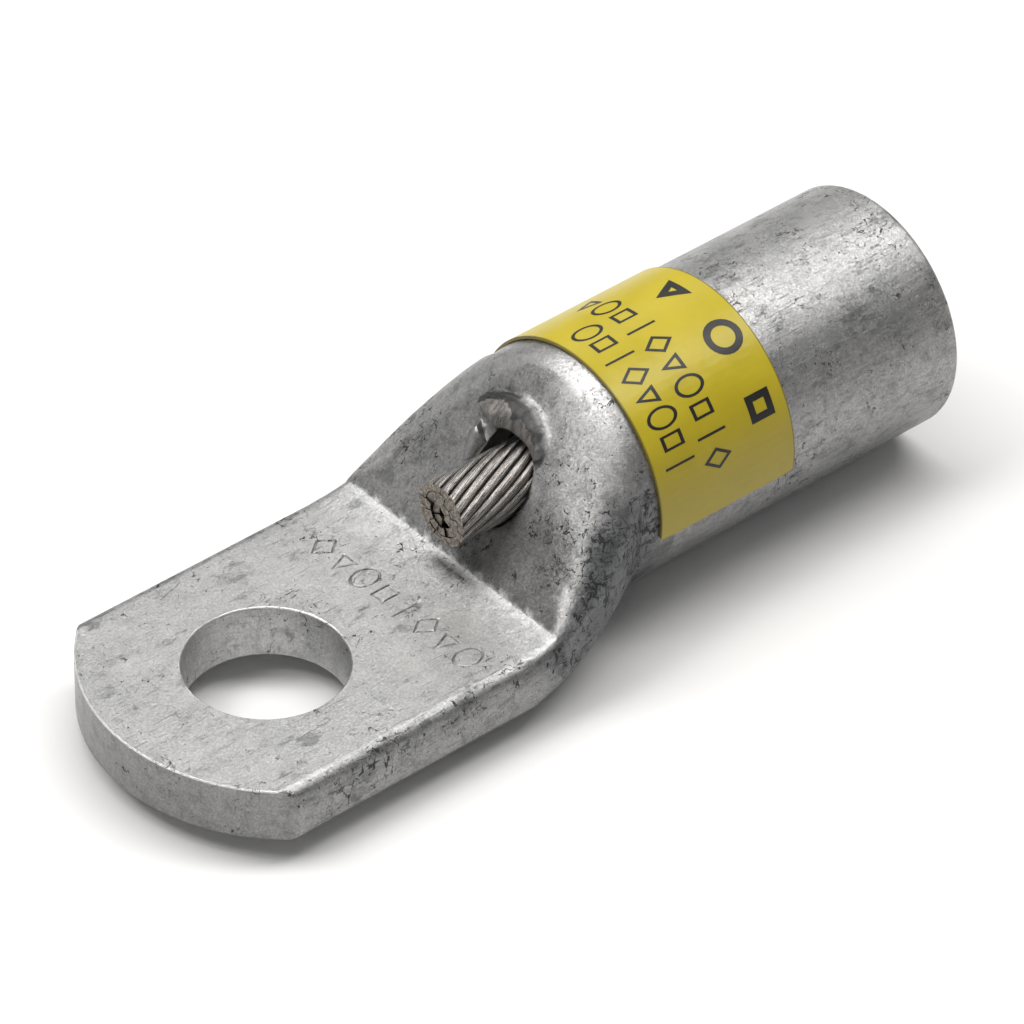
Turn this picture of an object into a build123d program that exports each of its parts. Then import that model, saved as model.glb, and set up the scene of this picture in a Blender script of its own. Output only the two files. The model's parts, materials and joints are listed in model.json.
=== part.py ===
from build123d import *
import os
from math import cos, degrees, pi, radians, sin, sqrt, tan

# Cable lug with a wrap-round label and a cut stranded conductor standing out of its ramp.
# X runs from the stud hole to the barrel mouth, Z up from the palm's contact face.

# Palm
palm_thickness = 4.0
palm_width = 22.6
palm_edge_r = 1.0
palm_base_r = 0.5
stud_hole_d = 11.1
nose_reach = 12.0
nose_r = 14.2

# Barrel
barrel_outer_d = 17.7
barrel_bore_d = 11.9
barrel_mouth_x = 53.2
barrel_drop = 1.6
mouth_outer_r = 0.5
mouth_bore_chamfer = 0.7

# Pressed shoulder between palm and barrel
crease_x = 15.7
ramp_angle = 52.0
crown_r = 4.0
crown_lead = 2.5
heel_length = 2.2
neck_corner_height = 6.4
fold_gap = 0.3

# How the shoulder's sizes run from palm to barrel, as powers of the share of the way
side_power = 2.2
belly_power = 1.1
flat_power = 1.25
corner_power = 1.2
crown_power = 0.4

# Label
label_start_x = 26.1
label_width = 11.8
label_length = 38.0
label_thickness = 0.2
label_glue_gap = 0.05
label_corner_r = 0.4
label_lower_angle = 187.0

# Compacted conductor: a round core and three layers of keystone strands
conductor_face_x = 14.5
conductor_length = 11.5
conductor_y = -0.3
conductor_z = 8.95
core_d = 0.7
layer_names = ("inner", "middle", "outer")
strands_per_turn = 6
strand_depth = 0.64
ridge_height = 0.14
strand_gap = 0.03
lay_length = 36.0
hole_clearance = 0.15

# Torn metal round the conductor hole, on the ramp: a broad hood and a small lobe, split apart
hood_first_angle = 55.0
hood_last_angle = 136.0
hood_thin_reach = 3.4
hood_full_reach = 4.95
hood_thin_width = 0.7
hood_full_width = 3.1
hood_thin_height = 0.5
hood_full_height = 1.1
hood_power = 0.6
lobe_first_angle = 145.0
lobe_last_angle = 180.0
lobe_full_reach = 4.6
lobe_thin_reach = 3.9
lobe_full_width = 1.6
lobe_thin_width = 0.7
lobe_full_height = 0.8
lobe_thin_height = 0.3
tear_shift = 0.9
tear_rise = 0.5

# Steps between the sections of each loft
shoulder_steps = 6
crown_steps = 3
bore_steps = 4
hood_steps = 4
lobe_steps = 2

# Places worked out from the sizes
barrel_r = barrel_outer_d / 2
bore_r = barrel_bore_d / 2
wall = barrel_r - bore_r
palm_half = palm_width / 2
axis_z = barrel_r - barrel_drop
ramp = radians(ramp_angle)
crown_z = axis_z + barrel_r - crown_r
crown_end_x = crease_x + (crown_z - palm_thickness + crown_r / cos(ramp)) / tan(ramp)
crown_start_x = crown_end_x - crown_r * sin(ramp)
neck_x = crown_end_x - crown_lead
heel_x = crease_x - heel_length
fold_z = palm_thickness / 2
fold_x = crease_x + (fold_z + fold_gap / 2 - palm_thickness + wall / cos(ramp)) / tan(ramp)
layer_count = len(layer_names)
conductor_r = core_d / 2 + layer_count * (strand_depth + strand_gap)
hole_r = conductor_r + hole_clearance
hole_x = crease_x + (conductor_z - palm_thickness) / tan(ramp)
conductor_plane = Plane(
    origin=(conductor_face_x, conductor_y, conductor_z), x_dir=(0, 1, 0), z_dir=(1, 0, 0)
)
ramp_plane = Plane(
    origin=(hole_x, conductor_y, conductor_z), x_dir=(0, -1, 0), z_dir=(-sin(ramp), 0, cos(ramp))
)
# Shortest straight edge left where two arcs of a section meet
edge_left = 0.01


def share(x, start, end):
    return min(max((x - start) / (end - start), 0.0), 1.0)


def steps(start, end, count):
    return [start + (end - start) * number / count for number in range(count + 1)]


def ramp_top(x):
    # Height of the upper side: palm, straight ramp, then the rounding into the barrel
    if x <= crown_start_x:
        return palm_thickness + max(x - crease_x, 0) * tan(ramp)
    return crown_z + sqrt(crown_r**2 - (crown_end_x - x) ** 2)


def pressed_section(x):
    # The flattened tube at x: wide and low at the palm, a circle where the crown ends
    along = share(x, heel_x, neck_x)
    up = share(x, crease_x, neck_x)
    over = share(x, neck_x, crown_end_x)
    half = palm_half + (barrel_r - palm_half) * along**side_power
    base = -barrel_drop * along
    base_r = palm_base_r + (barrel_r - edge_left - palm_base_r) * along**belly_power
    flat = (palm_half - palm_edge_r) * (1 - up) ** flat_power + edge_left
    corner = palm_edge_r + (neck_corner_height - palm_edge_r) * up**corner_power
    corner += (barrel_r - edge_left - neck_corner_height) * over**crown_power
    top = ramp_top(x)
    with BuildSketch(Plane.YZ.offset(x)) as section:
        with BuildLine():
            Line((-flat, top), (flat, top))
            EllipticalCenterArc((flat, top - corner), half - flat, corner, 0, arc_size=90)
            Line((half, top - corner), (half, base + base_r))
            CenterArc((half - base_r, base + base_r), base_r, 270, 90)
            Line((half - base_r, base), (base_r - half, base))
            CenterArc((base_r - half, base + base_r), base_r, 180, 90)
            Line((-half, base + base_r), (-half, top - corner))
            EllipticalCenterArc((-flat, top - corner), half - flat, corner, 90, arc_size=90)
        make_face()
    return section.sketch


def bore_section(x):
    # The bore keeps its girth as it is pressed flat, up to the closed fold
    along = share(x, fold_x, crown_end_x)
    ceiling = min(ramp_top(x) - wall / cos(ramp), axis_z + bore_r)
    floor = fold_z - fold_gap / 2 + (axis_z - bore_r - fold_z + fold_gap / 2) * along
    height = ceiling - floor
    width = pi * bore_r + (1 - pi / 2) * height + edge_left
    with BuildSketch(Plane.YZ.offset(x)) as section:
        with Locations((0, (ceiling + floor) / 2)):
            SlotOverall(width, height)
    return section.sketch


def between(start, end, part):
    return start + (end - start) * part


def torn_section(angle, reach, width, height):
    # Across the torn metal at that angle round the conductor: half of the ellipse stands proud
    turn = radians(angle)
    centre = ramp_plane.from_local_coords((reach * cos(turn), reach * sin(turn), 0))
    outward = centre - ramp_plane.origin
    along = outward.cross(ramp_plane.z_dir)
    with BuildSketch(Plane(origin=centre, x_dir=outward, z_dir=along)) as section:
        Ellipse(width / 2, height)
    return section.sketch


def hood_section(angle):
    grown = share(angle, hood_first_angle, hood_last_angle) ** hood_power
    return torn_section(
        angle,
        between(hood_thin_reach, hood_full_reach, grown),
        between(hood_thin_width, hood_full_width, grown),
        between(hood_thin_height, hood_full_height, grown),
    )


def lobe_section(angle):
    worn = share(angle, lobe_first_angle, lobe_last_angle)
    return torn_section(
        angle,
        between(lobe_full_reach, lobe_thin_reach, worn),
        between(lobe_full_width, lobe_thin_width, worn),
        between(lobe_full_height, lobe_thin_height, worn),
    )


os.makedirs("parts", exist_ok=True)

with BuildPart() as lug_body:
    # Palm with its sheared round nose
    extrude(pressed_section(heel_x), amount=-heel_x - nose_reach)
    with BuildSketch(Plane.XY):
        with Locations((nose_r - nose_reach, 0)):
            Circle(nose_r)
            Rectangle(heel_x, 2 * palm_width, align=(Align.MIN, Align.CENTER))
    extrude(amount=palm_thickness, mode=Mode.INTERSECT)
    # Heel, shoulder and crown, pressed from the tube
    loft([pressed_section(x) for x in (heel_x, crease_x)])
    loft([pressed_section(x) for x in steps(crease_x, neck_x, shoulder_steps)])
    loft([pressed_section(x) for x in steps(neck_x, crown_end_x, crown_steps)])
    # Barrel
    with BuildSketch(Plane.YZ.offset(crown_end_x)):
        with Locations((0, axis_z)):
            Circle(barrel_r)
    extrude(amount=barrel_mouth_x - crown_end_x)
    fillet(lug_body.edges().filter_by(GeomType.CIRCLE).sort_by(Axis.X)[-1], mouth_outer_r)
    # Hood and small lobe of metal pushed out round the conductor hole
    loft([hood_section(angle) for angle in steps(hood_first_angle, hood_last_angle, hood_steps)])
    loft([lobe_section(angle) for angle in steps(lobe_first_angle, lobe_last_angle, lobe_steps)])
    # Bore, closed where the tube is pressed flat
    with BuildSketch(Plane.YZ.offset(barrel_mouth_x)):
        with Locations((0, axis_z)):
            Circle(bore_r)
    extrude(amount=crown_end_x - barrel_mouth_x, mode=Mode.SUBTRACT)
    chamfer(
        lug_body.edges().filter_by(GeomType.CIRCLE).group_by(Axis.X)[-1].sort_by(SortBy.RADIUS)[0],
        mouth_bore_chamfer,
    )
    loft([bore_section(x) for x in steps(fold_x, crown_end_x, bore_steps)], mode=Mode.SUBTRACT)
    # Stud hole, and the torn hole for the conductor
    with Locations((0, 0, palm_thickness)):
        Hole(stud_hole_d / 2)
    with BuildSketch(conductor_plane):
        with Locations((0, 0), (tear_shift, tear_rise)):
            Circle(hole_r)
    extrude(amount=crown_end_x - conductor_face_x, mode=Mode.SUBTRACT)
lug_body.part.label = "lug_body"
export_step(lug_body.part, "parts/lug_body.step")

label_r = barrel_r + label_glue_gap
label_sweep = label_length / label_r * 180 / pi
with BuildPart() as barrel_label:
    with BuildSketch(Plane.YZ.offset(label_start_x)):
        with BuildLine():
            start = label_lower_angle - label_sweep
            inner = CenterArc((0, axis_z), label_r, start, label_sweep)
            outer = CenterArc((0, axis_z), label_r + label_thickness, start, label_sweep)
            Line(inner @ 0, outer @ 0)
            Line(inner @ 1, outer @ 1)
        make_face()
    extrude(amount=label_width)
    corners = barrel_label.edges().filter_by(
        lambda edge: edge.geom_type == GeomType.LINE and abs(edge.length - label_thickness) < edge_left
    )
    fillet(corners, label_corner_r)
barrel_label.part.label = "barrel_label"
export_step(barrel_label.part, "parts/barrel_label.step")


def polar(radius, angle):
    return (radius * cos(radians(angle)), radius * sin(radians(angle)))


def strand_section(layer, count, number):
    # Keystone between two radii of its layer; the outermost layer has a rounded ridge
    inner = core_d / 2 + strand_gap + (layer - 1) * (strand_depth + strand_gap)
    outer = inner + strand_depth
    side = outer - ridge_height if layer == layer_count else outer
    middle = 360 * number / count
    inner_half = 180 / count - degrees(strand_gap / 2 / inner)
    side_half = 180 / count - degrees(strand_gap / 2 / side)
    with BuildSketch(conductor_plane) as section:
        with BuildLine():
            seat = CenterArc((0, 0), inner, middle - inner_half, 2 * inner_half)
            ridge = ThreePointArc(
                polar(side, middle - side_half), polar(outer, middle), polar(side, middle + side_half)
            )
            Line(seat @ 0, ridge @ 0)
            Line(seat @ 1, ridge @ 1)
        make_face()
    return section.sketch


def make_strand(name, layer, count, number):
    with BuildLine() as run:
        Line(conductor_plane.origin, conductor_plane.origin + Vector(conductor_length, 0, 0))
    with BuildLine() as lay:
        Helix(
            lay_length,
            conductor_length,
            conductor_r,
            center=conductor_plane.origin,
            direction=(1, 0, 0),
            lefthand=layer % 2 == layer_count % 2,
        )
    with BuildPart() as strand:
        sweep(strand_section(layer, count, number), path=run.line, binormal=lay.line.edge())
    strand.part.label = name
    export_step(strand.part, f"parts/{name}.step")


with BuildPart() as core_strand:
    with BuildSketch(conductor_plane):
        Circle(core_d / 2)
    extrude(amount=conductor_length)
core_strand.part.label = "core_strand"
export_step(core_strand.part, "parts/core_strand.step")

for layer, layer_name in enumerate(layer_names, 1):
    for number in range(strands_per_turn * layer):
        make_strand(f"{layer_name}_strand_{number + 1:02d}", layer, strands_per_turn * layer, number)
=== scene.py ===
import json
from math import atan2, cos, pi, radians, sin, tau

import bmesh
import bpy
import numpy as np
from mathutils import Matrix, Quaternion, Vector, kdtree, noise


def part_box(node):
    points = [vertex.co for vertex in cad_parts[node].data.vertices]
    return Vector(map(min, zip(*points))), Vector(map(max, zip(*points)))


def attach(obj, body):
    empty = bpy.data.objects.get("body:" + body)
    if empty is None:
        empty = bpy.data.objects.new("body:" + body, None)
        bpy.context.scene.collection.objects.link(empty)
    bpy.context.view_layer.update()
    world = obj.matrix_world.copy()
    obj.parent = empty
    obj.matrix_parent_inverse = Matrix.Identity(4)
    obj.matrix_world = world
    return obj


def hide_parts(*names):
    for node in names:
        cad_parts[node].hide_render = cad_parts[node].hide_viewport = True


# Cable lug with a wrap-round label and a cut stranded conductor standing out of its ramp.
# X runs from the stud hole to the barrel mouth, Z up from the palm's contact face.

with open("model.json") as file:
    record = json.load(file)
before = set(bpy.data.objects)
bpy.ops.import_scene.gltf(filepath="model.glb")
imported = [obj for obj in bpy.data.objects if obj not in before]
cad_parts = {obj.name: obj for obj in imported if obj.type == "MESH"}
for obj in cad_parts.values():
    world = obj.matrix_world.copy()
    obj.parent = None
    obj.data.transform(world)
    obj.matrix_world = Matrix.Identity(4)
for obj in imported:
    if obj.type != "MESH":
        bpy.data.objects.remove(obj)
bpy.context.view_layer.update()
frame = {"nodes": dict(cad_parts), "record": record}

MM = 0.001
body_low, body_high = (Vector(corner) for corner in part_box("lug_body"))
label_low, label_high = (Vector(corner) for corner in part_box("barrel_label"))
core_low, core_high = (Vector(corner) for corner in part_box("core_strand"))
mounts = {mount["name"]: mount for mount in frame["record"]["mounts"]}

# Sizes read from the frame
axis_z = (body_high.z + body_low.z) / 2
palm_half = body_high.y
palm_top = mounts["stud_hole"]["dims"]["length_mm"] * MM
hole_r = mounts["stud_hole"]["dims"]["r_mm"] * MM
label_r = label_high.z - axis_z
conductor_y = (core_low.y + core_high.y) / 2
conductor_z = (core_low.z + core_high.z) / 2
conductor_face_x = core_low.x
strand_names = sorted(name for name in frame["nodes"] if "strand" in name)
conductor_r = max(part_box(name)[1][2] for name in strand_names) - conductor_z

# The ramp, and where the conductor's axis leaves it
crease_x = 15.7 * MM
ramp_angle = radians(52)
ramp_normal = Vector((-sin(ramp_angle), 0, cos(ramp_angle)))
ramp_up = Vector((cos(ramp_angle), 0, sin(ramp_angle)))
ramp_hole = Vector(
    (crease_x + (conductor_z - palm_top) * cos(ramp_angle) / sin(ramp_angle), conductor_y, conductor_z)
)


# Meshes


def link(name, mesh, material):
    """A finished piece on the lug's one body."""
    piece = bpy.data.objects.new(name, mesh)
    bpy.context.scene.collection.objects.link(piece)
    mesh.materials.clear()
    mesh.materials.append(material)
    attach(piece, "root")
    return piece


def merged(node):
    """The CAD node's mesh with its loose triangles joined."""
    shape = bmesh.new()
    shape.from_mesh(frame["nodes"][node].data)
    bmesh.ops.remove_doubles(shape, verts=shape.verts, dist=0.0005 * MM)
    bmesh.ops.dissolve_degenerate(shape, edges=shape.edges, dist=0.0002 * MM)
    return shape


def smooth(shape, name, crease=30):
    """A mesh from the bmesh, smooth apart from edges sharper than the crease angle."""
    mesh = bpy.data.meshes.new(name)
    shape.to_mesh(mesh)
    shape.free()
    mesh.polygons.foreach_set("use_smooth", np.ones(len(mesh.polygons), dtype=bool))
    mesh.set_sharp_from_angle(angle=radians(crease))
    return mesh


# Node materials


class Finish:
    """A material whose pattern is built from a few kinds of node on Object coordinates."""

    def __init__(self, name):
        self.material = bpy.data.materials.new(name)
        self.material.use_nodes = True
        self.tree = self.material.node_tree
        self.shader = self.tree.nodes["Principled BSDF"]
        self.place = self.node("ShaderNodeTexCoord").outputs["Object"]

    def node(self, kind, **settings):
        made = self.tree.nodes.new(kind)
        for key, value in settings.items():
            setattr(made, key, value)
        return made

    def feed(self, socket, value):
        if isinstance(value, bpy.types.NodeSocket):
            self.tree.links.new(value, socket)
        else:
            socket.default_value = value

    def turned(self, scale, turn=(0, 0, 0), shift=(0, 0, 0)):
        """Coordinates in millimetres, turned and stretched."""
        mapping = self.node("ShaderNodeMapping")
        self.feed(mapping.inputs["Vector"], self.place)
        mapping.inputs["Location"].default_value = shift
        mapping.inputs["Rotation"].default_value = [radians(angle) for angle in turn]
        mapping.inputs["Scale"].default_value = [factor / MM for factor in scale]
        return mapping.outputs["Vector"]

    def noise(self, vector, scale=1.0, detail=4.0, roughness=0.55, distortion=0.0):
        made = self.node("ShaderNodeTexNoise")
        self.feed(made.inputs["Vector"], vector)
        made.inputs["Scale"].default_value = scale
        made.inputs["Detail"].default_value = detail
        made.inputs["Roughness"].default_value = roughness
        made.inputs["Distortion"].default_value = distortion
        return made.outputs["Fac"]

    def warped(self, vector, scale, amount):
        """Coordinates pushed about by a noise, so that a pattern on them runs crooked."""
        push = self.node("ShaderNodeTexNoise")
        self.feed(push.inputs["Vector"], vector)
        push.inputs["Scale"].default_value = scale
        push.inputs["Detail"].default_value = 5.0
        centred = self.node("ShaderNodeVectorMath", operation="SUBTRACT")
        self.feed(centred.inputs[0], push.outputs["Color"])
        centred.inputs[1].default_value = (0.5, 0.5, 0.5)
        sized = self.node("ShaderNodeVectorMath", operation="SCALE")
        self.feed(sized.inputs[0], centred.outputs[0])
        sized.inputs["Scale"].default_value = amount
        moved = self.node("ShaderNodeVectorMath", operation="ADD")
        self.feed(moved.inputs[0], vector)
        self.feed(moved.inputs[1], sized.outputs[0])
        return moved.outputs[0]

    def cells(self, vector, scale=1.0, feature="F1"):
        made = self.node("ShaderNodeTexVoronoi", feature=feature)
        self.feed(made.inputs["Vector"], vector)
        made.inputs["Scale"].default_value = scale
        return made.outputs["Distance"]

    def ramp(self, value, low, high, start=0.0, end=1.0):
        """The value's range from low to high, drawn out from start to end."""
        made = self.node("ShaderNodeMapRange", interpolation_type="SMOOTHSTEP")
        self.feed(made.inputs["Value"], value)
        for key, number in (("From Min", low), ("From Max", high), ("To Min", start), ("To Max", end)):
            made.inputs[key].default_value = number
        return made.outputs["Result"]

    def sums(self, operation, first, second):
        made = self.node("ShaderNodeMath", operation=operation)
        self.feed(made.inputs[0], first)
        self.feed(made.inputs[1], second)
        return made.outputs["Value"]

    def plus(self, first, second):
        return self.sums("ADD", first, second)

    def times(self, first, second):
        return self.sums("MULTIPLY", first, second)

    def most(self, first, second):
        return self.sums("MAXIMUM", first, second)

    def mix(self, factor, first, second):
        made = self.node("ShaderNodeMix", data_type="RGBA")
        self.feed(made.inputs["Factor"], factor)
        self.feed(made.inputs["A"], first)
        self.feed(made.inputs["B"], second)
        return made.outputs["Result"]

    def mask(self, name):
        made = self.node("ShaderNodeAttribute", attribute_name=name)
        return made.outputs["Fac"]

    def axis(self, number):
        made = self.node("ShaderNodeSeparateXYZ")
        self.feed(made.inputs["Vector"], self.place)
        return made.outputs[number]

    def relief(self, height, depth, under=None):
        """A bump of that depth in millimetres."""
        made = self.node("ShaderNodeBump")
        self.feed(made.inputs["Height"], height)
        made.inputs["Strength"].default_value = 1.0
        made.inputs["Distance"].default_value = depth * MM
        if under is not None:
            self.feed(made.inputs["Normal"], under)
        return made.outputs["Normal"]

    def shade(self, colour, rough, normal, metal=1.0):
        self.feed(self.shader.inputs["Base Color"], colour)
        self.feed(self.shader.inputs["Roughness"], rough)
        self.feed(self.shader.inputs["Normal"], normal)
        self.shader.inputs["Metallic"].default_value = metal
        return self.material


def grey(level, warmth=0.0):
    return (level * (1 + warmth), level, level * (1 - warmth), 1)


# Stretch, turn, shift, width and strength of each net of cracks
crack_nets = (
    ((1.0, 1.0, 0.34), (0, 12, 0), 9, 0.075, 1.0),
    ((0.32, 1.0, 1.0), (8, 0, 38), 3, 0.060, 0.8),
    ((1.5, 1.5, 0.8), (30, 0, 0), 6, 0.060, 0.6),
)
# Turn and shift of each family of hairlines
hairlines = (((0, 0, 35), 3), ((20, 15, -28), 8))


def dirt_marks(finish, scuff, mottle):
    """Short crooked cracks, hairline scratches and pits, more of them where the metal is scuffed."""
    here = finish.turned((1, 1, 1))
    pits = finish.ramp(finish.cells(here, scale=1.9), 0.06, 0.16, 1, 0)
    marks = finish.times(pits, finish.ramp(mottle, 0.50, 0.60))
    cluster = finish.noise(finish.turned((1, 1, 1), shift=(5, 1, 7)), scale=0.22, detail=3)
    extra = finish.plus(finish.ramp(cluster, 0.38, 0.64, -0.08, 0.04), finish.times(scuff, 0.15))
    for stretch, turn, shift, wide, strength in crack_nets:
        crooked = finish.warped(finish.turned(stretch, turn, (shift, 4, 2)), 2.0, 1.0)
        net = finish.cells(crooked, scale=1.15, feature="DISTANCE_TO_EDGE")
        patch_place = finish.turned((1, 1, 1), shift=(shift, 8, 5))
        patch = finish.plus(finish.noise(patch_place, scale=1.1, detail=5, roughness=0.7), extra)
        width = finish.ramp(patch, 0.54, 0.74, 0.0, wide)
        cracks = finish.ramp(finish.sums("SUBTRACT", net, width), -0.02, 0.012, strength, 0)
        marks = finish.most(marks, cracks)
    for turn, shift in hairlines:
        streak = finish.noise(finish.turned((0.3, 12, 12), turn, (shift, 0, 0)), scale=1.0, detail=2)
        marks = finish.most(marks, finish.ramp(streak, 0.665, 0.76, 0, 0.6))
    return marks


def tinned_finish():
    """Satin tin plate with grain, blotches, cracks, scratches and pits, painted shade on steep faces, the
    pressed ramp, the crease and the torn metal's foot, and darker where it is sheared or torn.
    """
    finish = Finish("tinned_aluminium")
    here = finish.turned((1, 1, 1))
    grain = finish.noise(here, scale=5.5, detail=6, roughness=0.8)
    mottle = finish.noise(here, scale=0.9, detail=8, roughness=0.68, distortion=0.3)
    scuff = finish.mask("scuff")
    sheared = finish.mask("sheared")
    torn = finish.mask("torn")
    shaded = finish.mask("shaded")
    marks = dirt_marks(finish, scuff, mottle)
    # Plate with its grain, blotches and smudges
    broad = finish.noise(finish.turned((1, 1, 1), shift=(4, 7, 1)), scale=0.3, detail=4, roughness=0.6)
    shade = finish.mix(finish.ramp(broad, 0.35, 0.65), grey(0.47, -0.012), grey(0.57, 0.012))
    shade = finish.mix(finish.ramp(grain, 0.40, 0.66, 0, 0.75), shade, grey(0.80, 0.010))
    zone = finish.plus(finish.times(finish.most(shaded, scuff), 0.65), 0.35)
    blotch = finish.times(finish.ramp(mottle, 0.32, 0.54, 0.6, 0), zone)
    shade = finish.mix(blotch, shade, grey(0.24, -0.03))
    smear = finish.turned((0.6, 1, 1), (0, 0, 15), (6, 3, 1))
    smudge = finish.noise(smear, scale=0.55, detail=9, roughness=0.75)
    smudge = finish.plus(smudge, finish.times(scuff, 0.12))
    shade = finish.mix(finish.ramp(smudge, 0.54, 0.66, 0, 0.6), shade, grey(0.15, -0.04))
    # Sheared faces, painted shade on the ramp, the steep faces and the crease, and scuffed shoulders
    shade = finish.mix(finish.times(sheared, 0.35), shade, grey(0.36, 0.01))
    # Painted shade on steep faces and the ramp's flat, in a dark grainy grey
    deep = finish.mix(finish.ramp(grain, 0.38, 0.62), grey(0.085), grey(0.18, 0.02))
    shade = finish.mix(finish.times(shaded, 0.57), shade, deep)
    # Painted shade along the crease at the ramp's foot
    crease_shade = finish.times(finish.mask("crease_shade"), finish.ramp(mottle, 0.35, 0.6, 0.35, 0.10))
    shade = finish.mix(crease_shade, shade, grey(0.12))
    scuffed = finish.ramp(finish.plus(finish.times(scuff, 0.34), mottle), 0.56, 0.92)
    shade = finish.mix(finish.times(scuffed, 0.72), shade, grey(0.11, -0.05))
    # Torn metal and the painted shade against its foot
    drawn = finish.turned((1.0, 2.6, 1.0), (0, 0, 20), (2, 2, 2))
    streaks = finish.noise(drawn, scale=1.1, detail=6, roughness=0.7)
    metal = finish.mix(finish.ramp(streaks, 0.38, 0.64), grey(0.11, 0.05), grey(0.27, 0.06))
    shade = finish.mix(finish.times(torn, 0.92), shade, metal)
    # Painted shade in the crease against the torn metal's foot
    foot_shade = finish.ramp(finish.plus(finish.times(finish.mask("foot"), 0.55), mottle), 0.70, 1.02)
    shade = finish.mix(finish.times(foot_shade, 0.8), shade, grey(0.05, -0.05))
    # Painted highlight on the rims, and the marks over everything
    shade = finish.mix(finish.times(finish.mask("rim"), 0.85), shade, grey(0.95, 0.01))
    shade = finish.mix(finish.times(marks, 0.9), shade, grey(0.045, -0.02))
    rough = finish.ramp(mottle, 0.3, 0.7, 0.38, 0.28)
    for cover, amount in ((marks, 0.2), (scuff, 0.08), (torn, 0.16)):
        rough = finish.plus(rough, finish.times(cover, amount))
    height = finish.plus(finish.times(mottle, 0.7), finish.times(grain, 0.5))
    normal = finish.relief(height, 0.072)
    normal = finish.relief(finish.times(marks, -1.0), 0.03, normal)
    # Drag marks down the sheared faces
    drag = finish.noise(finish.turned((3, 3, 0.5)), scale=1.0, detail=5, roughness=0.7)
    normal = finish.relief(finish.times(drag, sheared), 0.12, normal)
    return finish.shade(shade, rough, normal)


def wire_finish():
    """Bright drawn wire scratched along its lay, painted shade in the grooves, dull brown sheared end."""
    finish = Finish("strand_wire")
    here = finish.turned((1, 1, 1))
    lay = finish.node("ShaderNodeAttribute", attribute_name="lay").outputs["Vector"]
    along = finish.node("ShaderNodeMapping")
    finish.feed(along.inputs["Vector"], lay)
    along.inputs["Scale"].default_value = (0.45, 9, 9)
    grain = finish.noise(along.outputs["Vector"], scale=1.0, detail=5, roughness=0.7)
    mottle = finish.noise(here, scale=1.6, detail=5, roughness=0.6)
    groove_shade = finish.mask("groove_shade")
    end = finish.mask("cut_end")
    shade = finish.mix(finish.ramp(grain, 0.36, 0.64), grey(0.20, 0.09), grey(0.66, 0.035))
    shade = finish.mix(finish.ramp(mottle, 0.50, 0.70, 0, 0.6), shade, grey(0.20, 0.12))
    # Painted shade between the strands, and all over the inner strands
    shade = finish.mix(finish.times(groove_shade, 0.96), shade, (0.030, 0.022, 0.016, 1))
    speck = finish.noise(here, scale=3.5, detail=5, roughness=0.7)
    face = finish.mix(finish.ramp(speck, 0.38, 0.62), (0.20, 0.175, 0.145, 1), (0.50, 0.455, 0.40, 1))
    shade = finish.mix(end, shade, face)
    rough = finish.plus(finish.ramp(grain, 0.3, 0.7, 0.18, 0.34), finish.times(end, 0.25))
    normal = finish.relief(grain, 0.05)
    return finish.shade(shade, rough, finish.relief(finish.times(speck, end), 0.10, normal))


def label_finish():
    """Semi-gloss yellow film, a little uneven, with painted shade low down, and darker along its cut edges.
    """
    finish = Finish("label_film")
    wave = finish.noise(finish.turned((1, 1, 1)), scale=0.25, detail=3)
    speck = finish.noise(finish.turned((1, 1, 1)), scale=7.0, detail=5, roughness=0.7)
    shade = finish.mix(finish.ramp(wave, 0.3, 0.7), (0.50, 0.40, 0.016, 1), (0.56, 0.445, 0.020, 1))
    shade = finish.mix(finish.ramp(speck, 0.60, 0.75, 0, 0.4), shade, (0.46, 0.36, 0.03, 1))
    # Painted shade: the film darkens towards the bottom
    low = finish.ramp(finish.axis(2), label_high.z - 8 * MM, label_high.z - 0.5 * MM, 0.55, 0)
    shade = finish.mix(low, shade, (0.24, 0.175, 0.012, 1))
    from_front = finish.ramp(finish.axis(0), label_low.x + 0.05 * MM, label_low.x + 0.13 * MM, 1, 0)
    from_rear = finish.ramp(finish.axis(0), label_high.x - 0.13 * MM, label_high.x - 0.05 * MM)
    edge = finish.most(from_front, from_rear)
    shade = finish.mix(finish.times(edge, 0.75), shade, (0.10, 0.08, 0.02, 1))
    rough = finish.ramp(wave, 0.3, 0.7, 0.30, 0.38)
    normal = finish.relief(finish.plus(wave, finish.times(speck, 0.08)), 0.10)
    finish.shader.inputs["Specular IOR Level"].default_value = 0.45
    return finish.shade(shade, rough, normal, metal=0.0)


def ink_finish():
    """Black print with slightly worn edges."""
    finish = Finish("label_ink")
    wear = finish.noise(finish.turned((1, 1, 1)), scale=9.0, detail=4)
    shade = finish.mix(finish.ramp(wear, 0.62, 0.74, 0, 0.5), grey(0.012, 0.05), grey(0.09, 0.2))
    rough = finish.ramp(wear, 0.3, 0.7, 0.35, 0.45)
    return finish.shade(shade, rough, finish.relief(wear, 0.01), metal=0.0)


tinned = tinned_finish()
wire = wire_finish()
film = label_finish()
ink = ink_finish()


# Lug


def soft(low, high, value):
    """0 below low, 1 above high, smooth between."""
    part = np.clip((value - low) / (high - low), 0, 1)
    return part * part * (3 - 2 * part)


def smooth_step(part):
    """soft for one number: 0 below 0, 1 above 1."""
    part = min(1, max(0, part))
    return part * part * (3 - 2 * part)


def on_ramp(place):
    """A point's place from the conductor's axis on the ramp: sideways, up the slope, and out of it."""
    offset = place - ramp_hole
    return offset.y, offset.dot(ramp_up), offset.dot(ramp_normal)


def round_conductor(place):
    """A point's reach and angle about the conductor's axis on the ramp, and how far out of it."""
    side, up, proud = on_ramp(place)
    return Vector((side, up)).length, atan2(up, side), proud


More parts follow.
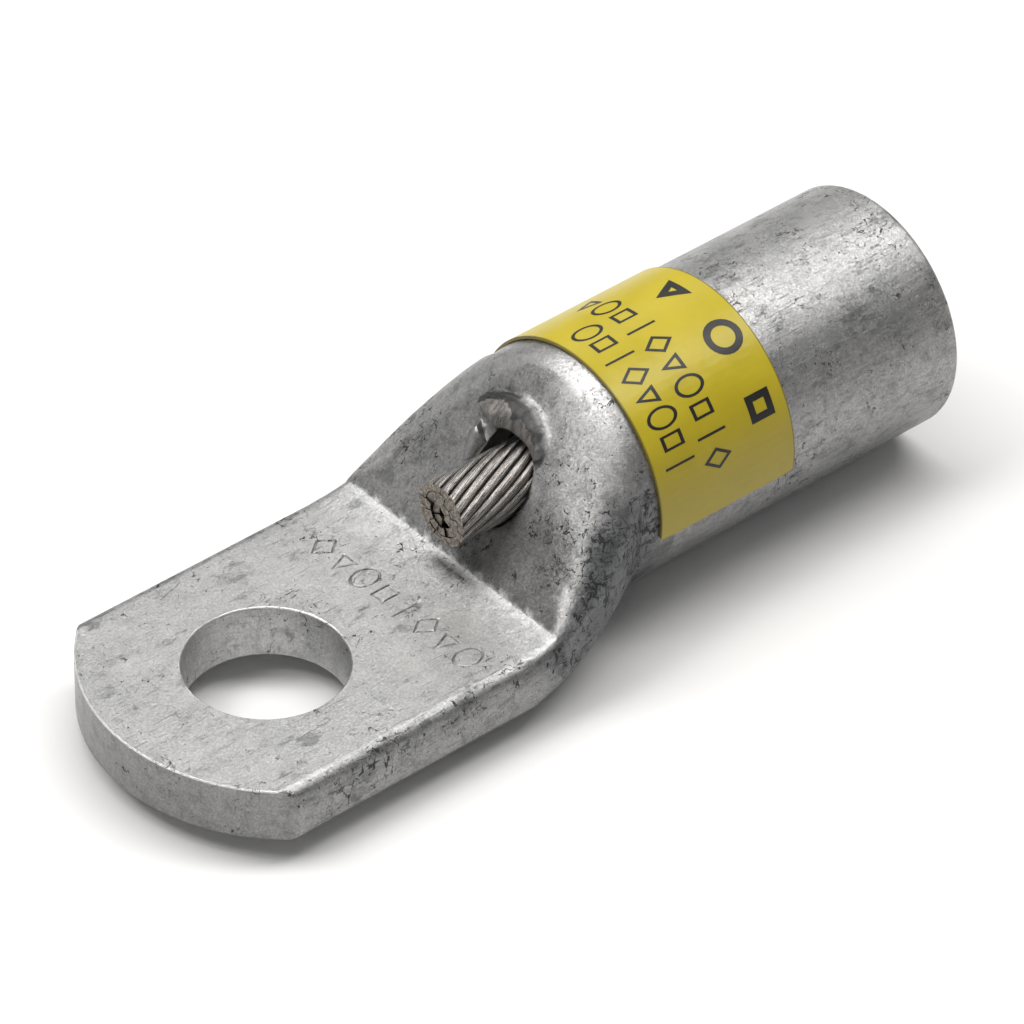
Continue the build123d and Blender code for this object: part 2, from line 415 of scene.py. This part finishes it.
def slide_on_ramp(vert, reach, angle):
    """The vertex goes along the ramp to that reach and angle."""
    side, up, _ = on_ramp(vert.co)
    vert.co += Vector((0, reach * cos(angle) - side, 0)) + ramp_up * (reach * sin(angle) - up)


# The torn metal's middle up the slope, and the radius that is finely divided about it
hood_up = 1.5 * MM
hood_fine_r = 6.3 * MM


def divided(shape, longest, finest=None):
    """Long edges halved until none is over the limit, which is finer round the torn hole."""

    def limit(edge):
        if finest is None:
            return longest
        side, up, proud = on_ramp((edge.verts[0].co + edge.verts[1].co) / 2)
        half = edge.calc_length() / 2
        close = Vector((side, up - hood_up)).length < hood_fine_r + half and proud > -0.5 * MM - half
        return finest if close else longest

    for _ in range(11):
        long_edges = [edge for edge in shape.edges if edge.calc_length() > limit(edge)]
        if not long_edges:
            break
        bmesh.ops.subdivide_edges(shape, edges=long_edges, cuts=1)
        triangulated(shape)
    return shape


def triangulated(shape):
    bmesh.ops.triangulate(shape, faces=[face for face in shape.faces if len(face.verts) > 3])


def read_vectors(items, key):
    values = np.zeros(len(items) * 3)
    items.foreach_get(key, values)
    return values.reshape(-1, 3)


def corner_vertices(mesh):
    numbers = np.zeros(len(mesh.loops), dtype=np.int64)
    mesh.loops.foreach_get("vertex_index", numbers)
    return numbers


def write_mask(mesh, name, values, domain="POINT"):
    layer = mesh.attributes.new(name, "FLOAT", domain)
    layer.data.foreach_set("value", np.asarray(values, dtype=np.float32))


def painted_foot_shade(where, facing, side, up, proud, reach):
    """Mask of the painted shade that lies in the crease against the upper foot of the torn metal."""
    raised = kdtree.KDTree(len(where))
    for number in np.flatnonzero((proud > 0.8) & (reach < 7.2)):
        raised.insert(where[number], int(number))
    raised.balance()
    beside = (reach < 9.5) & (proud > -1.5) & (proud < 0.9)
    away = np.zeros(len(where))
    for number in np.flatnonzero(beside):
        away[number] = raised.find(where[number])[2]
    foot_shade = np.where(beside, 1 - soft(0.4, 2.3, away), 0) * soft(0.0, 2.0, up - 0.35 * side)
    outward = facing[:, 1] * side + (facing @ np.array(ramp_up)) * up
    return foot_shade * soft(-0.30, 0.05, outward / np.maximum(reach, 0.1))


def mark_lug(mesh):
    """Masks of the lug's zones, one value a corner, from places in millimetres."""
    vertices = corner_vertices(mesh)
    where = read_vectors(mesh.vertices, "co")[vertices] / MM
    vertex_facing = read_vectors(mesh.vertices, "normal")[vertices]
    face_facing = np.repeat(read_vectors(mesh.polygons, "normal"), 3, axis=0)
    facing = read_vectors(mesh.corner_normals, "vector")
    x, y, z = where.T
    top, half = palm_top / MM, palm_half / MM
    from_crease = x - crease_x / MM
    from_hole = np.hypot(x, y)
    offset = where - np.array(ramp_hole) / MM
    side, up, proud = offset[:, 1], offset @ np.array(ramp_up), offset @ np.array(ramp_normal)
    reach = np.hypot(side, up)
    # The ramp's flat, but not the bright crown beside the torn metal, for its scuffs and its painted shade
    beyond_crease = np.repeat(from_crease.reshape(-1, 3).mean(axis=1) > 0, 3)
    ramp = soft(0.93, 0.99, facing @ np.array(ramp_normal)) * beyond_crease
    ramp *= 1 - soft(0.2, 0.8, np.abs(proud))
    ramp *= 1 - soft(-1.0, 3.0, up) * soft(1.0, -2.5, y)
    # Shoulders, the palm's lower edges, the barrel and the ramp are scuffed
    shoulder = soft(13, 18, x) * (1 - soft(25.5, 28, x)) * soft(0.15, 0.6, np.abs(vertex_facing[:, 1]))
    shoulder *= (1 - soft(9.5, 12.5, z)) * np.where(y > 0, 0.35, 1.0)
    band = soft(1.6, 2.8, z) * (1 - soft(top - 0.03, top + 0.03, z))
    band *= soft(half - 1.0, half - 0.6, np.abs(y)) * (1 - soft(15, 18, x))
    scuff = np.clip(shoulder + 0.5 * band + 0.16 * soft(27, 30, x) + 0.30 * ramp, 0, 1)
    # Sheared nose and torn metal, apart from its smooth lobe
    sheared = soft(0.3, 0.6, -face_facing[:, 0]) * (1 - soft(-4, -1, x)) * soft(7.0, 9.0, from_hole)
    lobe = soft(1.0, 2.2, side) * (1 - soft(2.2, 3.6, up))
    torn = soft(0.30, 0.60, proud) * (1 - soft(6.4, 7.4, reach)) * (1 - 0.9 * lobe)
    # Painted shade: steep faces are darker, and the stud hole's wall only a little. The ramp's flat gets
    # more, most towards negative Y
    shaded = 1 - soft(0.35, 1.0, facing[:, 2])
    shaded *= 1 - 0.8 * (from_hole < hole_r / MM + 0.1)
    shaded = np.maximum(shaded, ramp * (1.10 + 0.20 * soft(-1, -5, y)))
    # Painted shade on the ramp just beyond the crease
    crease_shade = beyond_crease * (1 - soft(0.2, 1.2, from_crease)) * soft(top - 0.4, top, z)
    # Painted highlight on the chamfers round the nose and the stud hole
    bevel = (face_facing[:, 2] > 0.3) & (face_facing[:, 2] < 0.95) & (z > top - 0.15) & (z < top + 0.01)
    nose = (face_facing[:, 0] < -0.3) & (from_hole > 7.0) & (x < -1)
    masks = {
        "scuff": scuff,
        "sheared": sheared,
        "torn": torn,
        "foot": painted_foot_shade(where, facing, side, up, proud, reach),
        "shaded": shaded,
        "crease_shade": crease_shade,
        "rim": bevel & (nose | (from_hole < hole_r / MM + 0.2)),
    }
    for name, values in masks.items():
        write_mask(mesh, name, values, "CORNER")


def burnished_rims(shape):
    """A hair of a chamfer on the sheared rims of nose and stud hole, which catches the light."""

    def on_rim(edge):
        sharp = len(edge.link_faces) == 2 and edge.calc_face_angle(0) > radians(50)
        level = all(abs(vert.co.z - palm_top) < 0.002 * MM for vert in edge.verts)
        inner = all(abs(vert.co.xy.length - hole_r) < 0.05 * MM for vert in edge.verts)
        nose = all(vert.co.x < -1 * MM and vert.co.xy.length > 8 * MM for vert in edge.verts)
        return sharp and level and (inner or nose)

    rims = [edge for edge in shape.edges if on_rim(edge)]
    bmesh.ops.bevel(shape, geom=rims, offset=0.11 * MM, segments=1, affect="EDGES")


def slanted_split(shape):
    """The torn metal's split turns, less and less towards its outer side."""
    for vert in shape.verts:
        reach, angle, proud = round_conductor(vert.co)
        if proud > -0.02 * MM and reach < 7.2 * MM and radians(39) < angle < radians(78):
            weight = 1 - smooth_step((angle - radians(46)) / radians(32))
            weight *= 1 - smooth_step((reach - 6.5 * MM) / (0.7 * MM))
            turn = radians(13 - 19 * (reach - 3.5 * MM) / (2.9 * MM))
            slide_on_ramp(vert, reach, angle + turn * weight)


def drawn_lobe(shape):
    """The torn metal's lobe comes closer to the conductor."""
    for vert in shape.verts:
        reach, angle, proud = round_conductor(vert.co)
        if -2.5 * MM < proud and reach < 7.0 * MM and radians(-35) < angle < radians(62):
            weight = smooth_step((angle + radians(35)) / radians(25))
            weight *= 1 - smooth_step((angle - radians(28)) / radians(34))
            weight *= 1 - smooth_step((reach - 4.4 * MM) / (2.6 * MM))
            weight *= smooth_step((proud + 2.5 * MM) / (1.5 * MM))
            slide_on_ramp(vert, reach - 0.75 * MM * weight, angle)


def worked_hood(shape):
    """The torn metal's foot flows into the ramp, and its skin is a little dented."""
    near = []
    for vert in shape.verts:
        side, up, proud = on_ramp(vert.co)
        reach = Vector((side, up)).length
        if reach < 7.4 * MM and proud > -0.02 * MM:
            foot = 1 - smooth_step((proud - 0.25 * MM) / (0.6 * MM))
            foot *= smooth_step((reach - 3.9 * MM) / (0.5 * MM))
            from_middle = Vector((side, up - hood_up)).length
            foot *= 1 - smooth_step((from_middle - hood_fine_r + 1.0 * MM) / (0.8 * MM))
            near.append((vert, foot))
    for turn in range(22):
        moves = []
        for vert, foot in near:
            neighbours = [edge.other_vert(vert).co for edge in vert.link_edges]
            mean = sum(neighbours, Vector()) / len(neighbours)
            moves.append((vert, vert.co.lerp(mean, 0.5 if turn < 5 and foot > 0 else 0.55 * foot)))
        for vert, place in moves:
            vert.co = place
    for vert, _ in near:
        weight = min(1, max(0, on_ramp(vert.co)[2] / (0.5 * MM)))
        dent = 0.12 * MM * noise.noise(vert.co / (1.0 * MM))
        dent += 0.035 * MM * noise.noise(vert.co / (0.35 * MM))
        vert.co += ramp_normal * dent * weight


# Signs stamped along the crease
stamp_depth = 0.085 * MM
stamp_slant = 0.10 * MM
stamp_foot = 11.6 * MM
stamp_first = -8.0 * MM
stamp_last = 8.8 * MM
stamp_room = 0.3 * MM
level_slack = 0.001 * MM


def stamped(skin):
    """The skin with a row of plain signs pressed into the palm along the crease."""
    row = sign_row(
        "stamp",
        foot=stamp_foot,
        first=stamp_first,
        last=stamp_last,
        count=8,
        tall=2.4 * MM,
        wide=1.8 * MM,
        stroke=0.26 * MM,
        axis_height=palm_top - stamp_depth,
        radius=1.0,
        flat=True,
        seed=1,
        material=tinned,
    )
    cutter = bmesh.new()
    cutter.from_mesh(row)
    raised = bmesh.ops.extrude_face_region(cutter, geom=cutter.faces, use_keep_orig=True)["geom"]
    for item in raised:
        if isinstance(item, bmesh.types.BMVert):
            item.co.z = palm_top + 0.5 * MM
    bmesh.ops.recalc_face_normals(cutter, faces=cutter.faces)
    cutter.to_mesh(row)
    cutter.free()
    tool = bpy.data.objects.new("stamp", row)
    bpy.context.scene.collection.objects.link(tool)
    cut = skin.modifiers.new("stamp", "BOOLEAN")
    cut.operation = "DIFFERENCE"
    cut.solver = "EXACT"
    cut.object = tool
    result = bpy.data.meshes.new_from_object(skin.evaluated_get(bpy.context.evaluated_depsgraph_get()))
    skin.modifiers.remove(cut)
    bpy.data.objects.remove(tool)
    return result


def slanted_grooves(shape):
    """The stamped grooves get slanted walls, because the floor's corners move in from the edge."""
    floor = [vert for vert in shape.verts if abs(vert.co.z - palm_top + stamp_depth) < level_slack]
    for vert in floor:
        walls = []
        for face in vert.link_faces:
            normal = face.normal
            known = any(normal.dot(wall) > 0.99 for wall in walls)
            if abs(normal.z) < 0.3 and face.calc_area() > 1e-12 and not known:
                walls.append(normal.copy())
        if walls and vert.co.x < stamp_foot + stamp_room:
            mean = sum(walls, Vector()) / len(walls)
            if mean.length > 0.3:
                vert.co += mean / mean.length_squared * stamp_slant


# How far the palm's sweep rises at the crease, and its run on either side
sweep_rise = 0.42 * MM
sweep_before = 3.6 * MM
sweep_beyond = 2.6 * MM


def swept_crease(shape):
    """The palm sweeps up a little towards the crease, and the ramp's foot flows out of it."""
    for vert in shape.verts:
        from_crease = vert.co.x - crease_x
        if from_crease < 0:
            lift = max(0, 1 + from_crease / sweep_before) ** 2
        else:
            lift = max(0, 1 - from_crease / sweep_beyond) ** 1.2
        vert.co.z += sweep_rise * lift * smooth_step((vert.co.z - palm_top) / (1.0 * MM) + 1)


def crisp_palm(mesh):
    """Clean shading normals on the palm's level top, in the stamped grooves and on the upright walls."""
    normals = read_vectors(mesh.corner_normals, "vector")
    by_face = normals.reshape(-1, 3, 3)
    corners = read_vectors(mesh.vertices, "co")[corner_vertices(mesh)].reshape(-1, 3, 3)
    x, y, z = corners.transpose(2, 0, 1)
    inside = (x.max(axis=1) < stamp_foot + stamp_room) & (np.abs(y).max(axis=1) < palm_half - 0.3 * MM)
    level = np.abs(z - palm_top).max(axis=1) < level_slack
    floor = np.abs(z - palm_top + stamp_depth).max(axis=1) < level_slack
    by_face[inside & (level | floor)] = (0, 0, 1)
    reach = np.hypot(x, y)
    upright = np.abs(read_vectors(mesh.polygons, "normal")[:, 2]) < 0.02
    hole = reach.max(axis=1) < hole_r + 0.05 * MM
    nose = (x.max(axis=1) < -1 * MM) & (reach.min(axis=1) > 7 * MM)
    walls = by_face[upright & (hole | nose)]
    walls[:, :, 2] = 0
    by_face[upright & (hole | nose)] = walls / np.linalg.norm(walls, axis=2)[:, :, None]
    mesh.normals_split_custom_set(normals.tolist())


def lug_skin():
    """The lug's body with its worked details, marked by zones."""
    shape = merged("lug_body")
    bmesh.ops.dissolve_limit(
        shape, angle_limit=radians(0.2), verts=shape.verts, edges=shape.edges, use_dissolve_boundaries=False
    )
    burnished_rims(shape)
    triangulated(shape)
    divided(shape, 1.0 * MM, 0.26 * MM)
    slanted_split(shape)
    drawn_lobe(shape)
    worked_hood(shape)
    swept_crease(shape)
    blank = bpy.data.objects.new("blank", smooth(shape, "blank"))
    bpy.context.scene.collection.objects.link(blank)
    shape = bmesh.new()
    shape.from_mesh(stamped(blank))
    bpy.data.objects.remove(blank)
    bmesh.ops.dissolve_degenerate(shape, edges=shape.edges, dist=0.0008 * MM)
    triangulated(shape)
    shape.normal_update()
    slanted_grooves(shape)
    mesh = smooth(shape, "lug_skin", crease=32)
    mark_lug(mesh)
    crisp_palm(mesh)
    skin = link("lug_skin", mesh, tinned)
    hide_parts("lug_body")
    return skin


# Conductor


end_dice = np.random.default_rng(11)
cracked_strands = ("core_strand", "inner_strand_05")


def dress_strand(name):
    """A strand with its sheared end set back and drawn in unevenly, and masks for the painted shade in its
    grooves and for its end.
    """
    mesh = smooth(divided(merged(name), 0.7 * MM), f"{name}_wire", crease=35)
    outermost = name.startswith("outer")
    where = read_vectors(mesh.vertices, "co")
    x, side, up = (where - (conductor_face_x, conductor_y, conductor_z)).T
    reach = np.hypot(side, up)
    at_start = x < 0.01 * MM
    at_end = x > x.max() - 0.01 * MM
    first = atan2(up[at_start].mean(), side[at_start].mean())
    last = atan2(up[at_end].mean(), side[at_end].mean())
    twist = ((last - first + pi) % tau - pi) / x.max()
    middle_r = 0 if name == "core_strand" else np.hypot(up[at_start].mean(), side[at_start].mean())
    # The strand's grain follows its lay
    angle = np.arctan2(up, side) - twist * x
    lay = np.stack([x, np.cos(angle) * reach * 2, np.sin(angle) * reach * 2], axis=1) / MM
    layer = mesh.attributes.new("lay", "FLOAT_VECTOR", "POINT")
    layer.data.foreach_set("vector", lay.astype(np.float32).ravel())
    # Near the cut the strand is a little thinner and its face is set back and tilted
    middle_angle = first + twist * x
    centre = middle_r * np.stack([np.cos(middle_angle), np.sin(middle_angle)], axis=1)
    from_centre = np.stack([side, up], axis=1) - centre
    # The blade smeared the upper right half of the face nearly shut
    smeared = middle_r * (sin(first) - cos(first)) > 0.3 * MM
    thinned = end_dice.uniform(0.02, 0.09) * (0.15 if smeared else 1) * (1 - soft(0, 1.0 * MM, x))
    depth = end_dice.uniform(0.0, 0.10 if outermost else 0.2) * (0.2 if smeared else 1) * MM
    if name in cracked_strands:
        depth = 0.7 * MM
    tilt = end_dice.uniform(-0.2, 0.2, 2) * (0.3 if smeared else 1)
    set_back = depth + np.abs(from_centre @ tilt)
    # Each strand wanders slightly in its lay
    waves = (np.sin(x / MM * 0.9 + tilt[0] * 30), np.cos(x / MM * 0.7 + tilt[1] * 30))
    wander = np.stack(waves, axis=1) * 0.02 * MM * soft(0, 2 * MM, x)[:, None]
    where[:, 0] += set_back * (1 - soft(0, 1.2 * MM, x))
    where[:, 1:] = centre + from_centre * (1 - thinned)[:, None] + wander + (conductor_y, conductor_z)
    mesh.vertices.foreach_set("co", where.ravel())
    # Painted shade: inner strands all over, outer strands where they dip between neighbours
    groove_shade = np.ones(len(x))
    if outermost:
        groove_shade = 1 - soft(conductor_r - 0.13 * MM, conductor_r - 0.05 * MM, reach)
    write_mask(mesh, "groove_shade", groove_shade)
    facing = np.repeat(read_vectors(mesh.polygons, "normal"), 3, axis=0)
    cut_end = soft(0.5, 0.8, -facing[:, 0]) * (x[corner_vertices(mesh)] < 0.3 * MM)
    write_mask(mesh, "cut_end", cut_end, "CORNER")
    dressed = link(f"{name}_wire", mesh, wire)
    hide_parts(name)
    return dressed


# Label


def label_sheet():
    """The film in finer facets."""
    mesh = smooth(divided(merged("barrel_label"), 1.5 * MM), "label_sheet", crease=40)
    sheet = link("label_sheet", mesh, film)
    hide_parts("barrel_label")
    return sheet


# Print and stamp


def sign_row_tree():
    """Plain signs in a row, as rings with three, four or many sides and bars, flat or round a barrel."""
    tree = bpy.data.node_groups.new("sign_row", "GeometryNodeTree")
    floats = ("Foot", "First", "Last", "Tall", "Wide", "Stroke", "Radius", "Axis Height")
    kinds = [("Count", "NodeSocketInt"), ("Seed", "NodeSocketInt"), ("Flat", "NodeSocketBool")]
    kinds += [(name, "NodeSocketFloat") for name in floats] + [("Material", "NodeSocketMaterial")]
    for name, kind in kinds:
        tree.interface.new_socket(name, in_out="INPUT", socket_type=kind)
    tree.interface.new_socket("Geometry", in_out="OUTPUT", socket_type="NodeSocketGeometry")
    given = tree.nodes.new("NodeGroupInput").outputs

    def add(kind, inputs, **settings):
        made = tree.nodes.new(kind)
        for key, value in settings.items():
            setattr(made, key, value)
        for key, value in inputs.items():
            if isinstance(value, bpy.types.NodeSocket):
                tree.links.new(value, made.inputs[key])
            else:
                made.inputs[key].default_value = value
        return made.outputs

    def sums(operation, first, second=0.0):
        return add("ShaderNodeMath", {0: first, 1: second}, operation=operation)[0]

    place = add("GeometryNodeInputPosition", {})[0]
    outwards = add("ShaderNodeVectorMath", {0: place}, operation="NORMALIZE")[0]
    stroke = sums("DIVIDE", given["Stroke"], sums("MULTIPLY", given["Tall"], 0.5))
    joined = tree.nodes.new("GeometryNodeJoinGeometry")
    # Sides of each ring and its turn in degrees
    for sides, turn in ((3, 180), (4, 45), (4, 0), (24, 0)):
        ring = add("GeometryNodeMeshCircle", {"Vertices": sides, "Radius": 1.0})["Mesh"]
        inwards = sums("DIVIDE", stroke, -cos(pi / sides) ** 2)
        band = {"Mesh": ring, "Offset": outwards, "Offset Scale": inwards}
        band = add("GeometryNodeExtrudeMesh", band, mode="EDGES")["Mesh"]
        turned = {"Geometry": band, "Rotation": (0, 0, radians(turn))}
        turned = add("GeometryNodeTransform", turned)[0]
        tree.links.new(add("GeometryNodeGeometryToInstance", {"Geometry": turned})[0], joined.inputs[0])
    bar = {"Size X": 2.0, "Size Y": stroke, "Vertices X": 2, "Vertices Y": 2}
    bar = add("GeometryNodeMeshGrid", bar)["Mesh"]
    tree.links.new(add("GeometryNodeGeometryToInstance", {"Geometry": bar})[0], joined.inputs[0])
    # Places of the signs along the row
    index = add("GeometryNodeInputIndex", {})[0]
    part = sums("DIVIDE", index, given["Count"])
    length = sums("SUBTRACT", given["Last"], given["First"])
    along = sums("ADD", given["First"], sums("MULTIPLY", part, length))
    half_tall = sums("MULTIPLY", given["Tall"], 0.5)
    half_wide = sums("MULTIPLY", given["Wide"], 0.5)
    middle = sums("SUBTRACT", given["Foot"], half_tall)
    spot = add("ShaderNodeCombineXYZ", {"X": middle, "Y": along})[0]
    points = add("GeometryNodeMeshLine", {"Count": given["Count"], "Offset": (0, 0, 0)})[0]
    points = add("GeometryNodeSetPosition", {"Geometry": points, "Position": spot})[0]
    picked = sums("MODULO", sums("ADD", sums("MULTIPLY", index, 3.0), given["Seed"]), 5.0)
    size = add("ShaderNodeCombineXYZ", {"X": half_tall, "Y": half_wide, "Z": 1.0})[0]
    row = {"Points": points, "Instance": joined.outputs[0], "Pick Instance": True}
    row |= {"Instance Index": picked, "Scale": size}
    row = add("GeometryNodeInstanceOnPoints", row)[0]
    row = add("GeometryNodeRealizeInstances", {"Geometry": row})[0]
    row = add("GeometryNodeSubdivideMesh", {"Mesh": row, "Level": 2})[0]
    # Wrapped round the barrel, or laid flat at that height
    flat = add("ShaderNodeSeparateXYZ", {"Vector": place})
    angle = sums("DIVIDE", flat["Y"], given["Radius"])
    across = sums("MULTIPLY", given["Radius"], sums("COSINE", angle))
    height = sums("ADD", given["Axis Height"], sums("MULTIPLY", given["Radius"], sums("SINE", angle)))
    wrapped = add("ShaderNodeCombineXYZ", {"X": flat["X"], "Y": across, "Z": height})[0]
    level = add("ShaderNodeCombineXYZ", {"X": flat["X"], "Y": flat["Y"], "Z": given["Axis Height"]})[0]
    choice = {"Switch": given["Flat"], "False": wrapped, "True": level}
    choice = add("GeometryNodeSwitch", choice, input_type="VECTOR")[0]
    row = add("GeometryNodeSetPosition", {"Geometry": row, "Position": choice})[0]
    row = add("GeometryNodeRealizeInstances", {"Geometry": row})[0]
    row = add("GeometryNodeSetMaterial", {"Geometry": row, "Material": given["Material"]})[0]
    tree.links.new(row, tree.nodes.new("NodeGroupOutput").inputs[0])
    return tree


sign_tree = sign_row_tree()


def sign_row(name, **values):
    """The signs of one row as a plain mesh."""
    holder = bpy.data.objects.new(name, bpy.data.meshes.new(name))
    bpy.context.scene.collection.objects.link(holder)
    modifier = holder.modifiers.new("signs", "NODES")
    modifier.node_group = sign_tree
    for item in sign_tree.interface.items_tree:
        wanted = values.get(item.name.replace(" ", "_").lower())
        if item.in_out == "INPUT" and wanted is not None:
            modifier[item.identifier] = wanted
    mesh = bpy.data.meshes.new_from_object(holder.evaluated_get(bpy.context.evaluated_depsgraph_get()))
    holder.modifiers.remove(modifier)
    bpy.data.objects.remove(holder)
    return mesh


print_height = 0.012 * MM


def label_print():
    """Two rows of plain thin signs round the barrel, and three bold plain ones behind them."""
    shape = bmesh.new()
    reach = label_r + print_height
    # Foot along the barrel, first and last angle, count, height, width, stroke and first kind
    rows = (
        (29.6, 155, 72, 8, 2.5, 1.5, 0.28, 0),
        (32.6, 161, 50, 10, 2.4, 1.55, 0.28, 2),
        (37.2, 149, 50, 3, 2.9, 2.7, 0.55, 3),
    )
    for foot, first, last, count, tall, wide, thick, kind in rows:
        row = sign_row(
            "row",
            foot=foot * MM,
            first=radians(first) * reach,
            last=radians(last) * reach,
            count=count,
            tall=tall * MM,
            wide=wide * MM,
            stroke=thick * MM,
            radius=reach,
            axis_height=axis_z,
            seed=kind,
            material=ink,
        )
        shape.from_mesh(row)
    shape.normal_update()
    for face in shape.faces:
        middle = face.calc_center_median()
        if face.normal.dot(Vector((0, middle.y, middle.z - axis_z))) < 0:
            face.normal_flip()
    mesh = bpy.data.meshes.new("label_print")
    shape.to_mesh(mesh)
    shape.free()
    return link("label_print", mesh, ink)


lug_skin()
for strand in strand_names:
    dress_strand(strand)
label_sheet()
label_print()


# Floor, light and camera


def pale_floor():
    size = 3.0
    mesh = bpy.data.meshes.new("floor")
    z = body_low.z - 0.02 * MM
    corners = [(-size, -size, z), (size, -size, z), (size, size, z), (-size, size, z)]
    mesh.from_pydata(corners, [], [(0, 1, 2, 3)])
    floor = bpy.data.objects.new("floor", mesh)
    bpy.context.scene.collection.objects.link(floor)
    finish = Finish("pale_floor")
    tone = finish.noise(finish.turned((0.01, 0.01, 0.01)), scale=1.0)
    shade = finish.mix(tone, grey(0.92), grey(0.94))
    mesh.materials.append(finish.shade(shade, 0.9, finish.relief(tone, 0.0), metal=0.0))


warm_white = (1, 0.99, 0.97)


def softbox(name, direction, distance, width, height, power, spin):
    """An area light that faces the lug from that direction, turned about its own axis."""
    lamp = bpy.data.lights.new(name, "AREA")
    lamp.shape = "RECTANGLE"
    lamp.size = width
    lamp.size_y = height
    lamp.energy = power
    lamp.color = warm_white
    holder = bpy.data.objects.new(name, lamp)
    bpy.context.scene.collection.objects.link(holder)
    towards = Vector(direction).normalized()
    centre = Vector((20 * MM, 0, 5 * MM))
    holder.location = centre + towards * distance
    turn = towards.to_track_quat("Z", "Y") @ Quaternion((0, 0, 1), radians(spin))
    holder.rotation_euler = turn.to_euler()


def studio():
    """A bright even room, a long softbox overhead and three small ones."""
    world = bpy.data.worlds.new("studio")
    bpy.context.scene.world = world
    world.use_nodes = True
    room = world.node_tree.nodes["Background"].inputs
    room["Color"].default_value = (1, 1, 1, 1)
    room["Strength"].default_value = 0.19
    # Direction, distance, width and height in metres, watts and spin in degrees
    softbox("overhead", (0.06, 0.17, 1.0), 0.6, 1.1, 0.18, 4.75, -17)
    softbox("crown_side", (-0.50, 0.20, 0.84), 0.7, 0.16, 0.16, 0.62, 0)
    softbox("far_side", (0.55, 0.62, 0.60), 0.7, 0.40, 0.25, 0.42, 0)
    softbox("left_front", (-0.75, -0.45, 0.55), 0.8, 0.35, 0.35, 0.3, 0)
    bpy.context.scene.view_settings.view_transform = "Standard"


def photo_camera():
    """The photograph's viewpoint, from the solved camera."""
    azimuth = radians(-41.148)
    elevation = radians(39.251)
    roll = radians(0.923)
    distance = 492.92 * MM
    aim = Vector((21.495, 0.593, 5.0)) * MM
    back = Vector((sin(azimuth) * cos(elevation), -cos(azimuth) * cos(elevation), sin(elevation)))
    right = Vector((0, 0, 1)).cross(back).normalized()
    up = back.cross(right)
    across = cos(roll) * right + sin(roll) * up
    upright = -sin(roll) * right + cos(roll) * up
    lens = bpy.data.cameras.new("camera")
    lens.sensor_width = 36
    lens.lens = 261.34
    lens.clip_start = 0.01
    lens.clip_end = 20
    camera = bpy.data.objects.new("camera", lens)
    bpy.context.scene.collection.objects.link(camera)
    place = Matrix((across, upright, back)).transposed().to_4x4()
    place.translation = aim + back * distance
    camera.matrix_world = place
    bpy.context.scene.camera = camera


pale_floor()
studio()
photo_camera()
